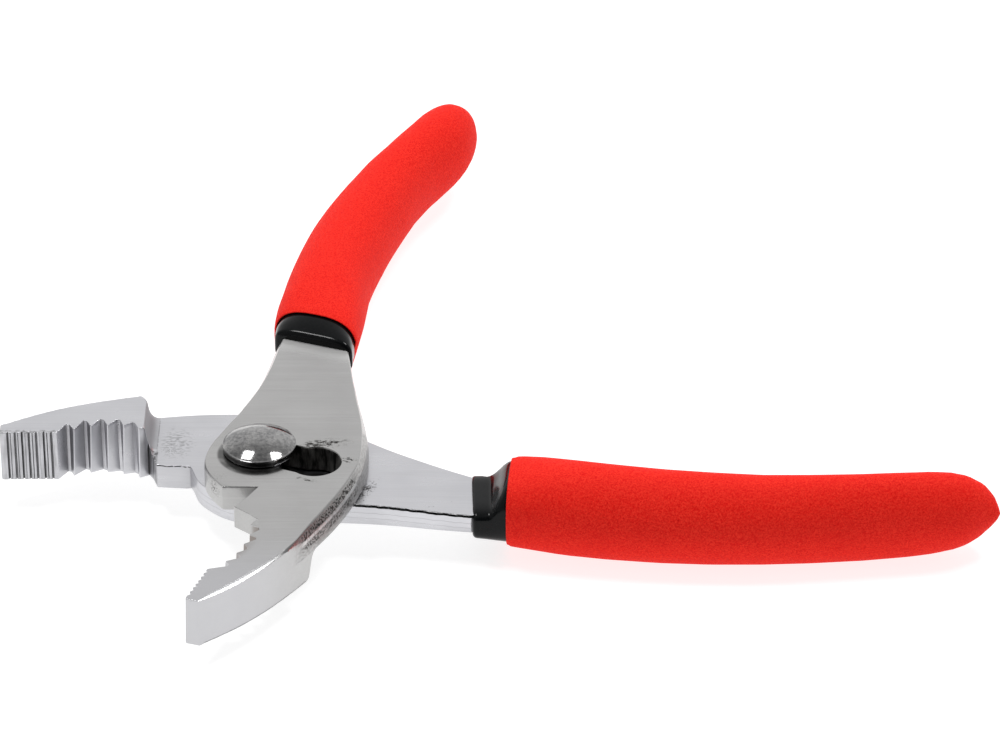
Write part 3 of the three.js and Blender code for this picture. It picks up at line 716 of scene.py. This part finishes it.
# ------------------------------------------------------------------ materials
class Nodes:
    def __init__(self, name, kind=None):
        self.mat = bpy.data.materials.new(name)
        self.mat.use_nodes = True
        self.t = self.mat.node_tree
        self.bsdf = next(n for n in self.t.nodes if n.type == "BSDF_PRINCIPLED")
        self.raw = self.coord = self.t.nodes.new("ShaderNodeTexCoord").outputs["Object"]
        if kind:
            # back to the frame of one half
            n = self.put("ShaderNodeMapping", vector_type="TEXTURE")
            n.inputs["Location"].default_value = PLACE[kind].to_translation()
            n.inputs["Rotation"].default_value = (math.pi, 0, OPEN) if kind == "slotted" else (0, 0, 0)
            self.t.links.new(self.raw, n.inputs["Vector"])
            self.coord = n.outputs["Vector"]

    def put(self, kind, **props):
        n = self.t.nodes.new(kind)
        for k, v in props.items():
            setattr(n, k, v)
        return n

    def link(self, value, socket):
        if isinstance(value, bpy.types.NodeSocket):
            self.t.links.new(value, socket)
        else:
            socket.default_value = value

    def scaled(self, scale, vec=None):
        n = self.put("ShaderNodeMapping")
        n.inputs["Scale"].default_value = scale
        self.t.links.new(self.raw if vec is None else vec, n.inputs["Vector"])
        return n.outputs["Vector"]

    def noise(self, vec, scale, detail=3.0, rough=0.5, distort=0.0):
        n = self.put("ShaderNodeTexNoise")
        self.t.links.new(vec, n.inputs["Vector"])
        n.inputs["Scale"].default_value = scale
        n.inputs["Detail"].default_value = detail
        n.inputs["Roughness"].default_value = rough
        n.inputs["Distortion"].default_value = distort
        return n.outputs["Fac"]

    def voronoi(self, vec, scale, randomness=1.0):
        n = self.put("ShaderNodeTexVoronoi")
        self.t.links.new(vec, n.inputs["Vector"])
        n.inputs["Scale"].default_value = scale
        n.inputs["Randomness"].default_value = randomness
        return n.outputs["Distance"]

    def span(self, value, a, b, c=0.0, d=1.0, smooth=True):
        n = self.put("ShaderNodeMapRange", interpolation_type="SMOOTHSTEP" if smooth else "LINEAR")
        n.clamp = True
        self.link(value, n.inputs["Value"])
        for k, v in (("From Min", a), ("From Max", b), ("To Min", c), ("To Max", d)):
            n.inputs[k].default_value = v
        return n.outputs["Result"]

    def math(self, op, a, b=0.0):
        n = self.put("ShaderNodeMath", operation=op)
        self.link(a, n.inputs[0])
        self.link(b, n.inputs[1])
        return n.outputs[0]

    def blob(self, centre, inner, outer, scale=(1, 1, 1), turn=0.0):
        """1 within inner of centre, falling to 0 at outer; centre in millimetres of the piece's own frame."""
        shift = self.put("ShaderNodeVectorMath", operation="SUBTRACT")
        self.t.links.new(self.coord, shift.inputs[0])
        shift.inputs[1].default_value = tuple(c * MM for c in centre)
        n = self.put("ShaderNodeMapping")
        n.vector_type = "TEXTURE"
        n.inputs["Scale"].default_value = scale
        n.inputs["Rotation"].default_value = (0, 0, turn)
        self.t.links.new(shift.outputs[0], n.inputs["Vector"])
        d = self.put("ShaderNodeVectorMath", operation="LENGTH")
        self.t.links.new(n.outputs[0], d.inputs[0])
        return self.span(d.outputs["Value"], inner * MM, outer * MM, 1.0, 0.0)

    def axis_value(self, name):
        n = self.put("ShaderNodeSeparateXYZ")
        self.t.links.new(self.coord, n.inputs[0])
        return n.outputs[name]

    def between(self, value, a, b, soft):
        """1 where value lies from a to b (millimetres), falling to 0 over soft outside."""
        up = self.span(value, (a - soft) * MM, a * MM)
        down = self.span(value, b * MM, (b + soft) * MM, 1.0, 0.0)
        return self.math("MULTIPLY", up, down)

    def most(self, values):
        out = values[0]
        for v in values[1:]:
            out = self.math("MAXIMUM", out, v)
        return out

    def occlusion_shade(self, distance, a, b):
        """1 deep in the piece's own corners and grooves, from ambient occlusion: a mask for painted shade."""
        n = self.put("ShaderNodeAmbientOcclusion", samples=8, only_local=True)
        n.inputs["Distance"].default_value = distance
        return self.span(n.outputs["AO"], a, b, 1.0, 0.0)

    def mix(self, fac, a, b, blend="MIX"):
        n = self.put("ShaderNodeMix", data_type="RGBA", blend_type=blend)
        self.link(fac, n.inputs["Factor"])
        for k, v in (("A", a), ("B", b)):
            socket = next(s for s in n.inputs if s.name == k and s.type == "RGBA")
            self.link(v if isinstance(v, bpy.types.NodeSocket) else (*v, 1.0), socket)
        return next(s for s in n.outputs if s.type == "RGBA")

    def bump(self, height, strength, distance, normal=None):
        n = self.put("ShaderNodeBump")
        n.inputs["Strength"].default_value = strength
        n.inputs["Distance"].default_value = distance
        self.t.links.new(height, n.inputs["Height"])
        if normal is not None:
            self.t.links.new(normal, n.inputs["Normal"])
        return n.outputs["Normal"]

    def set(self, **values):
        for k, v in values.items():
            self.link(v, self.bsdf.inputs[k.replace("_", " ")])
        return self.mat


def forged_steel(name, kind, light, dark, rough, scuffs, specks, grease_and_shadow):
    """Satin plated steel: fine brushed lines, cloudy tone, small pits, scuffs where the tool rubs, painted shade in
    corners and grooves.
    """
    m = Nodes(name, kind)
    x, y, z = (m.axis_value(k) for k in "XYZ")
    mul = lambda *v: v[0] if len(v) == 1 else m.math("MULTIPLY", v[0], mul(*v[1:]))
    lines = m.noise(m.scaled((40, 2600, 2600)), 1.0, 2.0, 0.6)
    broad = m.noise(m.scaled((22, 330, 330)), 1.0, 3.0, 0.55)
    cloud = m.noise(m.raw, 90.0, 3.0, 0.5)
    tone = m.math("ADD", mul(lines, 0.3), m.math("ADD", mul(broad, 0.22), mul(cloud, 0.48)))
    colour = m.mix(m.span(tone, 0.3, 0.7), dark, light)
    # pin-prick pits
    speck = m.span(m.noise(m.raw, 2100.0, 2.0, 0.6), 0.24, 0.31, 1.0, 0.0)
    sparse = m.span(m.noise(m.raw, 260.0, 2.0, 0.5), 0.58, 0.70)
    dots = mul(speck, sparse)
    # scuffs: short dashes along the brushed lines; specks: fine grains
    dash = m.noise(m.scaled((900, 2200, 2200)), 1.0, 3.0, 0.6, 0.4)
    grains = m.noise(m.raw, 2300.0, 2.0, 0.6)
    torn = []
    for source, marks, a, b in ((dash, scuffs, 0.48, 0.56), (grains, specks, 0.49, 0.57)):
        for centre, inner, outer, scale, turn, strength in marks:
            spot = m.blob(centre, inner, outer, scale, turn)
            torn.append(mul(m.span(m.math("ADD", source, mul(m.math("SUBTRACT", spot, 1.0), 0.09)), a, b), spot, strength))
    torn = m.most(torn)
    # parting line under the inner edge of the tang, its groove painted black as shade, with a painted highlight along
    # the edge over it
    under = m.math("ADD", z, mul(m.math("MAXIMUM", m.math("SUBTRACT", x, 16 * MM), 0.0), 0.0302))
    ripple = mul(m.math("SUBTRACT", m.noise(m.scaled((560, 560, 60), m.coord), 1.0, 3.0, 0.6), 0.5), 0.0006)
    edge = m.math("ADD", under, ripple)
    tang = mul(m.span(y, -9.0 * MM, -8.0 * MM, 1.0, 0.0), m.span(x, 7 * MM, 12 * MM))
    broken = m.noise(m.scaled((1500, 1500, 200), m.coord), 1.0, 2.0, 0.5)
    seam_shade = mul(m.between(edge, 4.82, 5.32, 0.05), m.span(broken, 0.25, 0.42, 0.55, 1.0), tang)
    edge_highlight = mul(m.between(under, 5.34, 5.45, 0.03), m.span(broken, 0.42, 0.58), tang)
    # rough forged wall round the back of the plate
    back = m.span(y, 16.6 * MM, 17.4 * MM)
    wall = mul(m.between(z, 0.45, 5.2, 0.3), back, m.between(x, -26, 20, 4))
    rag = m.noise(m.scaled((1000, 2200, 2600), m.coord), 1.0, 4.0, 0.62, 0.4)
    # painted shade from occlusion: wide and faint towards the bottom of every groove, black in the very corner
    wide = m.occlusion_shade(0.0032, 0.30, 0.98)
    corner_shade = m.occlusion_shade(0.0007, 0.40, 0.80)

    colour = m.mix(mul(wall, m.span(rag, 0.38, 0.62, 0.6, 0.0)), colour, (0.2, 0.196, 0.19))
    colour = m.mix(mul(dots, 0.6), colour, (0.10, 0.10, 0.10))
    # painted shade in grooves and corners
    colour = m.mix(mul(wide, 0.5), colour, (0.14, 0.14, 0.145))
    colour = m.mix(mul(corner_shade, 0.75), colour, (0.03, 0.028, 0.026))
    worn = [torn]
    if kind == "pinned":
        # two faint parting lines along the front wall
        faint = m.most([m.between(edge, 3.35, 3.43, 0.09), m.between(edge, 2.05, 2.1, 0.08)])
        colour = m.mix(mul(faint, m.span(y, 1.0 * MM, 2.0 * MM, 0.3, 0.0)), colour, (0.15, 0.15, 0.15))
        # matt wall and fillet of the step, with the faint line where the milled face starts
        step = mul(m.between(x, -24.1, -21.2, 0.1), m.between(z, 5.44, 11.12, 0.03), m.span(y, 8.4 * MM, 8.9 * MM))
        colour = m.mix(mul(step, 0.4), colour, (0.33, 0.33, 0.335))
        colour = m.mix(mul(m.between(x, -21.2, -21.12, 0.07), m.between(y, 6.5, 19.0, 0.8), m.span(broken, 0.42, 0.56, 0.0, 0.55)), colour, (0.08, 0.08, 0.08))
        # darker in the corner between the jaw and the cutter wall
        nook = mul(m.between(x, -22.5, -21.05, 0.25), m.between(y, 2.8, 7.6, 0.4), m.between(z, 0.8, 9.5, 0.6))
        colour = m.mix(mul(nook, m.span(broken, 0.36, 0.56, 0.85, 0.3)), colour, (0.05, 0.05, 0.052))
        # fine teeth are duller than the flats, with dark dots along their top edge, deepened by painted shade where
        # occluded
        fine = mul(m.span(x, -41.4 * MM, -41.0 * MM, 1.0, 0.0), m.span(y, 6.5 * MM, 6.9 * MM, 1.0, 0.0))
        colour = m.mix(mul(fine, m.span(broken, 0.36, 0.6, 0.5, 0.15)), colour, (0.26, 0.26, 0.265))
        rim = mul(m.between(z, 11.1, 11.3, 0.04), m.span(x, -24.4 * MM, -24.0 * MM, 1.0, 0.0), m.span(m.occlusion_shade(0.0005, 0.5, 0.95), 0.0, 1.0, 0.5, 1.0))
        rim = mul(rim, m.span(y, 6.9 * MM, 7.2 * MM, 1.0, 0.0))
        colour = m.mix(mul(rim, m.span(m.noise(m.coord, 1500.0, 2.0, 0.5), 0.5, 0.58, 0.0, 0.85)), colour, (0.06, 0.06, 0.06))
        # burr along the top of the cutter wall
        cutter = mul(m.between(x, -20.9, -14.3, 0.2), m.between(y, 1.5, 4.5, 0.2), m.span(z, 5.3 * MM, 5.4 * MM, 1.0, 0.0))
        colour = m.mix(mul(cutter, 0.2), colour, (0.2, 0.2, 0.2))
        burr = mul(m.between(edge, 5.16, 5.34, 0.05), m.between(x, -20.9, -14.3, 0.2), m.between(y, 1.5, 4.5, 0.2))
        colour = m.mix(mul(burr, m.span(broken, 0.35, 0.5)), colour, (0.02, 0.02, 0.02))
    else:
        # two pitted streaks on the wall behind the jaw, with a painted highlight along the ridge between them
        pair = m.most([m.between(z, 0.75, 1.7, 0.3), mul(m.between(z, 2.7, 3.7, 0.4), 0.75)])
        along = mul(m.between(x, -24.5, -3.5, 3.0), back)
        worn.append(mul(pair, along, m.span(grains, 0.47, 0.55), 0.92))
        # painted highlight along the ridge
        colour = m.mix(mul(m.between(z, 1.95, 2.4, 0.25), along, m.span(broken, 0.35, 0.5, 0.25, 0.7)), colour, (0.8, 0.8, 0.8))
        # the ground jaw painted paler towards its tip, a painted reflection; its bevel painted darker away from the
        # tip, painted shade that fades its highlight
        colour = m.mix(m.span(x, -22 * MM, -46 * MM, 0.0, 0.6), colour, (0.55, 0.55, 0.578))
        proud = m.math("ADD", m.math("ADD", z, mul(x, 0.0245)), 0.539 * MM)
        bevel_shade = mul(m.between(proud, 0.12, 0.5, 0.04), m.between(x, -34, -25, 7.0), m.span(y, 13 * MM, 13.5 * MM))
        colour = m.mix(mul(bevel_shade, 0.62), colour, (0.24, 0.24, 0.24))
        # brown stain and painted shade in the valleys of the coarse teeth
        rust_and_shade = mul(m.blob((-30.0, 10.2, 2.5), 2.0, 6.0, (1.7, 0.5, 1.3), 0.12), m.span(z, 0.15 * MM, 0.4 * MM), m.span(y, 8.6 * MM, 9.6 * MM))
        colour = m.mix(mul(rust_and_shade, 0.6), colour, (0.12, 0.08, 0.055))
    worn = m.most(worn)
    colour = m.mix(worn, colour, (0.028, 0.026, 0.024))
    # painted highlight along the tang's edge, and painted shade in the seam groove under it
    colour = m.mix(mul(edge_highlight, 0.8), colour, (0.95, 0.95, 0.95))
    colour = m.mix(seam_shade, colour, (0.010, 0.010, 0.010))
    # dark patches of grease with painted shadow, at the bottom of the slot and round the bolt head
    if grease_and_shadow:
        oil_and_shadow = m.most([mul(m.blob(centre, inner, outer, scale, turn), strength) for centre, inner, outer, scale, turn, strength in grease_and_shadow])
        stain_and_shadow = mul(oil_and_shadow, m.span(m.noise(m.raw, 420.0, 4.0, 0.6), 0.25, 0.6, 0.6, 1.0))
        colour = m.mix(stain_and_shadow, colour, (0.016, 0.015, 0.014))
    r = m.math("ADD", m.span(tone, 0.35, 0.85, rough + 0.05, rough - 0.05),
               m.math("ADD", mul(m.most([worn, seam_shade]), 0.3), m.math("ADD", mul(corner_shade, 0.15), mul(wall, 0.14))))
    if kind == "pinned":
        r = m.math("ADD", r, m.math("ADD", mul(step, 0.45), mul(m.math("MAXIMUM", fine, nook), 0.12)))
    height = m.math("SUBTRACT", m.math("ADD", mul(lines, 0.35), m.math("ADD", mul(cloud, 0.6), mul(wall, rag, 2.5))),
                    m.math("ADD", mul(dots, 0.5), mul(worn, 1.2)))
    normal = m.bump(height, 0.12, 0.00006)
    # a dull film next to the slotted half's collar
    metal = m.span(x, 35.0 * MM, 39.0 * MM, 1.0, 0.15) if kind == "slotted" else 1.0
    return m.set(Base_Color=colour, Metallic=metal, Roughness=r, Normal=normal)


STEEL_PINNED = forged_steel(
    "steel_pinned", "pinned", (0.615, 0.615, 0.64), (0.54, 0.54, 0.565), 0.27,
    scuffs=[((-17.3, 11.0, 5.5), 1.0, 7.0, (0.75, 1.2, 1.0), 0.0, 0.4)],
    specks=[((21.4, -6.0, 5.4), 0.5, 3.6, (0.55, 1.9, 1.0), -0.46, 0.9), ((-18.5, 8.5, 5.5), 0.5, 4.0, (0.9, 1.0, 1.0), 0.0, 0.35)],
    # painted shadow on the slot floor, seen through the slot and round the bolt, with grease
    grease_and_shadow=[((11.8, -4.4, 5.5), 3.0, 6.4, (1, 1, 1), 0.0, 0.92), ((0.0, 0.0, 5.5), 5.0, 6.4, (1, 1, 1), 0.0, 1.0)])
STEEL_SLOTTED = forged_steel(
    "steel_slotted", "slotted", (0.462, 0.459, 0.455), (0.41, 0.407, 0.403), 0.21,
    scuffs=[((6.3, 11.2, 0.0), 0.9, 2.9, (0.8, 2.4, 1.0), -0.5, 1.0), ((-7.0, 12.7, 0.0), 0.4, 1.6, (0.6, 2.0, 1.0), 0.0, 0.9),
            ((2.4, 18.2, 0.0), 0.6, 1.9, (0.8, 1.2, 1.0), 0.0, 1.0)],
    specks=[((6.3, 11.2, 0.0), 0.2, 2.0, (0.8, 2.4, 1.0), -0.5, 0.8), ((-12.6, -3.6, 2.0), 0.3, 2.6, (1.2, 1.2, 1.2), 0.0, 0.9)],
    # painted dark reflection and shadow of the bolt head, in a ring round it
    grease_and_shadow=[((-1.7, 0.2, 0.0), 7.6, 8.25, (1, 1, 1), 0.0, 0.75)])


def polished_head():
    m = Nodes("pivot_steel")
    mott = m.noise(m.coord, 1300.0, 5.0, 0.62, 0.3)
    fine = m.noise(m.coord, 4200.0, 3.0, 0.6)
    cloud = m.noise(m.coord, 300.0, 2.0, 0.5)
    tone = m.math("ADD", m.math("MULTIPLY", mott, 0.6), m.math("ADD", m.math("MULTIPLY", fine, 0.3), m.math("MULTIPLY", cloud, 0.35)))
    colour = m.mix(m.span(tone, 0.42, 0.84), (0.13, 0.13, 0.135), (0.42, 0.415, 0.41))
    r = m.span(tone, 0.4, 0.9, 0.13, 0.06)
    normal = m.bump(m.math("ADD", mott, m.math("MULTIPLY", fine, 0.4)), 0.07, 0.00004)
    return m.set(Base_Color=colour, Metallic=1.0, Roughness=r, Normal=normal)


def dark_washer():
    m = Nodes("washer_steel")
    n = m.noise(m.coord, 1400.0, 4.0, 0.6)
    colour = m.mix(m.span(n, 0.35, 0.7), (0.05, 0.05, 0.05), (0.16, 0.16, 0.165))
    return m.set(Base_Color=colour, Metallic=1.0, Roughness=m.span(n, 0.3, 0.7, 0.5, 0.36), Normal=m.bump(n, 0.15, 0.00005))


# dark oil on the slot walls, with painted shade
def oil_and_shade_wall():
    m = Nodes("slot_oil_and_shade")
    n = m.noise(m.scaled((700, 700, 160)), 1.0, 4.0, 0.6)
    colour = m.mix(m.span(n, 0.38, 0.68), (0.02, 0.02, 0.018), (0.30, 0.29, 0.275))
    return m.set(Base_Color=colour, Metallic=0.6, Roughness=m.span(n, 0.3, 0.7, 0.3, 0.45), Normal=m.bump(n, 0.3, 0.0001))


def black_sleeve():
    m = Nodes("sleeve_black")
    wide = m.noise(m.coord, 140.0, 3.0, 0.5)
    fine = m.noise(m.coord, 2400.0, 3.0, 0.55)
    colour = m.mix(m.span(fine, 0.3, 0.7), (0.0025, 0.003, 0.0035), (0.005, 0.0055, 0.006))
    r = m.span(m.math("ADD", m.math("MULTIPLY", wide, 0.7), m.math("MULTIPLY", fine, 0.3)), 0.35, 0.65, 0.10, 0.18)
    normal = m.bump(m.math("ADD", m.math("MULTIPLY", wide, 0.9), m.math("MULTIPLY", fine, 0.05)), 0.25, 0.0003)
    return m.set(Base_Color=colour, Metallic=0.0, Roughness=r, Normal=normal, Specular_IOR_Level=0.15)


def red_foam():
    m = Nodes("grip_red")
    cells = m.voronoi(m.coord, 3600.0)
    grain = m.noise(m.coord, 2900.0, 4.0, 0.75)
    patch = m.noise(m.coord, 120.0, 3.0, 0.5)
    base = m.mix(m.span(grain, 0.34, 0.66), (0.74, 0.001, 0.001), (1.0, 0.040, 0.022))
    base = m.mix(m.math("MULTIPLY", m.span(patch, 0.3, 0.7), 0.18), base, (0.78, 0.010, 0.006))
    glint = m.math("MULTIPLY", m.span(cells, 0.0, 0.25, 1.0, 0.0), m.span(grain, 0.5, 0.62))
    base = m.mix(m.math("MULTIPLY", glint, 0.4), base, (0.98, 0.11, 0.07))
    height = m.math("ADD", m.math("MULTIPLY", grain, 0.8), m.math("MULTIPLY", cells, 0.6))
    normal = m.bump(height, 0.5, 0.00016)
    return m.set(Base_Color=base, Metallic=0.0, Roughness=m.span(grain, 0.3, 0.7, 0.66, 0.82), Normal=normal, Specular_IOR_Level=0.11)


HEAD = polished_head()
WASHER = dark_washer()
OIL_AND_SHADE = oil_and_shade_wall()
BLACK = black_sleeve()
RED = red_foam()

for obj, mat in ((pinned_half, STEEL_PINNED), (slotted_half, STEEL_SLOTTED), (pivot_bolt, HEAD), (pivot_nut, HEAD), (pivot_washer, WASHER),
                 (pinned_sleeve, BLACK), (slotted_sleeve, BLACK), (pinned_grip, RED), (slotted_grip, RED)):
    obj.data.materials.clear()
    obj.data.materials.append(mat)
    for p in obj.data.polygons:
        p.material_index = 0

# the walls of the slot get the dark oil and painted shade
slotted_half.data.materials.append(OIL_AND_SHADE)
to_half = PLACE["slotted"].inverted()
for p in slotted_half.data.polygons:
    x, y, z = (c / MM for c in to_half @ p.center)
    if in_slot(x, y, 0.08) and 0.16 < z < 5.4 and abs(p.normal.z) < 0.7:
        p.material_index = 1

# ------------------------------------------------------------------ what each piece is
for obj, node, body, slot in (
    (pinned_half, "pinned_half", "pinned_side", "steel_pinned"),
    (slotted_half, "slotted_half", "slotted_side", "steel_slotted"),
    (pivot_bolt, "pivot_bolt", "pinned_side", "pivot_steel"),
    (pivot_nut, "pivot_nut", "pinned_side", "pivot_steel"),
    (pivot_washer, "pivot_washer", "washer", "washer_steel"),
    (pinned_sleeve, "pinned_sleeve", "pinned_side", "sleeve_black"),
    (slotted_sleeve, "slotted_sleeve", "slotted_side", "sleeve_black"),
    (pinned_grip, "pinned_grip", "pinned_side", "grip_red"),
    (slotted_grip, "slotted_grip", "slotted_side", "grip_red"),
):
    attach(obj, body)
    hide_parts(node)

# ------------------------------------------------------------------ floor and light
half = 4.0
floor = new_object("floor", [(-half / MM, -half / MM, -2.32), (half / MM, -half / MM, -2.32), (half / MM, half / MM, -2.32), (-half / MM, half / MM, -2.32)], [(0, 1, 2, 3)])
f = Nodes("floor_paper")
paper = f.noise(f.coord, 60.0, 3.0, 0.5)
floor.data.materials.append(f.set(Base_Color=f.mix(paper, (0.35, 0.35, 0.35), (0.37, 0.37, 0.37)), Roughness=0.85, Specular_IOR_Level=0.1,
                                  Emission_Color=(1.0, 1.0, 1.0, 1.0), Emission_Strength=0.82))

world = bpy.data.worlds.new("studio")
bpy.context.scene.world = world
world.use_nodes = True
wt = world.node_tree
background = wt.nodes["Background"]
coord = wt.nodes.new("ShaderNodeTexCoord")
split = wt.nodes.new("ShaderNodeSeparateXYZ")
wt.links.new(coord.outputs["Generated"], split.inputs[0])


def world_range(value, a, b, c, d):
    n = wt.nodes.new("ShaderNodeMapRange")
    n.interpolation_type = "SMOOTHSTEP"
    for k, v in (("From Min", a), ("From Max", b), ("To Min", c), ("To Max", d)):
        n.inputs[k].default_value = v
    wt.links.new(value, n.inputs["Value"])
    return n.outputs["Result"]


# bright wall behind, dim room, and the dark of the room in front
glow = world_range(split.outputs["Y"], 0.2, 0.9, 0.38, 0.96)
facing = wt.nodes.new("ShaderNodeVectorMath")
facing.operation = "DOT_PRODUCT"
facing.inputs[1].default_value = (0.0, -0.85, 0.527)
wt.links.new(coord.outputs["Generated"], facing.inputs[0])
shut = world_range(facing.outputs["Value"], 0.78, 0.93, 1.0, 0.06)
both = wt.nodes.new("ShaderNodeMath")
both.operation = "MULTIPLY"
wt.links.new(glow, both.inputs[0])
wt.links.new(shut, both.inputs[1])
wt.links.new(both.outputs[0], background.inputs["Color"])
background.inputs["Strength"].default_value = 1.0


def softbox(name, place, target, size, power):
    data = bpy.data.lights.new(name, "AREA")
    data.shape = "SQUARE"
    data.size = size
    data.energy = power
    light = bpy.data.objects.new(name, data)
    light.location = place
    light.rotation_euler = (Vector(target) - Vector(place)).to_track_quat("-Z", "Y").to_euler()
    bpy.context.scene.collection.objects.link(light)


softbox("softbox_left", (-0.38, 0.17, 1.15), (0, 0, 0), 0.30, 5.9)
softbox("softbox_right", (0.50, 0.17, 1.10), (0, 0, 0), 0.30, 5.9)

bpy.context.scene.view_settings.view_transform = "Standard"
bpy.context.scene.view_settings.look = "None"
